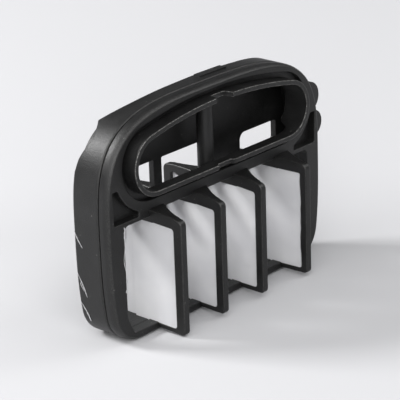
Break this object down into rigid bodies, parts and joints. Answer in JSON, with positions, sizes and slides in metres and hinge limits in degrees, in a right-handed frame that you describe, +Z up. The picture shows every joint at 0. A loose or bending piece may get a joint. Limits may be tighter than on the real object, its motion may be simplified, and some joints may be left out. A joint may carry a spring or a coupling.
{
  "type": "comb strainer insert",
  "caption": "Arched clamshell black plastic insert with an oval sealed port above a row of open fins, each closed by a white film panel.",
  "frame": {"origin": "on the underside, midway across the body and midway between the front face and the rear edge of the shell", "axes": "+X across the body to the right as seen from the port side, +Y from the front fins to the rear fins, +Z up"},
  "size_m": [0.0473, 0.0184, 0.0324],
  "materials": {
    "frame_plastic": "fine moulded texture, slightly worn on the edges",
    "shell_plastic": "fine moulded texture",
    "film": "satin white film"
  },
  "bodies": {
    "rear_half": {"rear_shell": "shell_plastic", "rear_wall": "shell_plastic", "rear_crossbar": "shell_plastic", "window_strut": "shell_plastic", "shell_top_rib": "shell_plastic", "side_lugs": "shell_plastic", "rear_fin_1": "shell_plastic", "rear_fin_2": "shell_plastic", "rear_fin_3": "shell_plastic", "rear_fin_4": "shell_plastic", "rear_film_1": "film", "rear_film_2": "film", "rear_film_3": "film", "rear_film_4": "film"},
    "front_half": {"front_bezel": "frame_plastic", "front_crossbar": "frame_plastic", "front_rail": "frame_plastic", "port_ring": "frame_plastic", "port_post": "frame_plastic", "front_fin_1": "frame_plastic", "front_fin_2": "frame_plastic", "front_fin_3": "frame_plastic", "front_fin_4": "frame_plastic", "front_film_1": "film", "front_film_2": "film", "front_film_3": "film", "front_film_4": "film"}
  },
  "joints": [
    {"name": "front_half_pull", "type": "slide", "parent": "rear_half", "child": "front_half", "axis": [0, -1, 0], "range_m": [0, 0.01]}
  ]
}
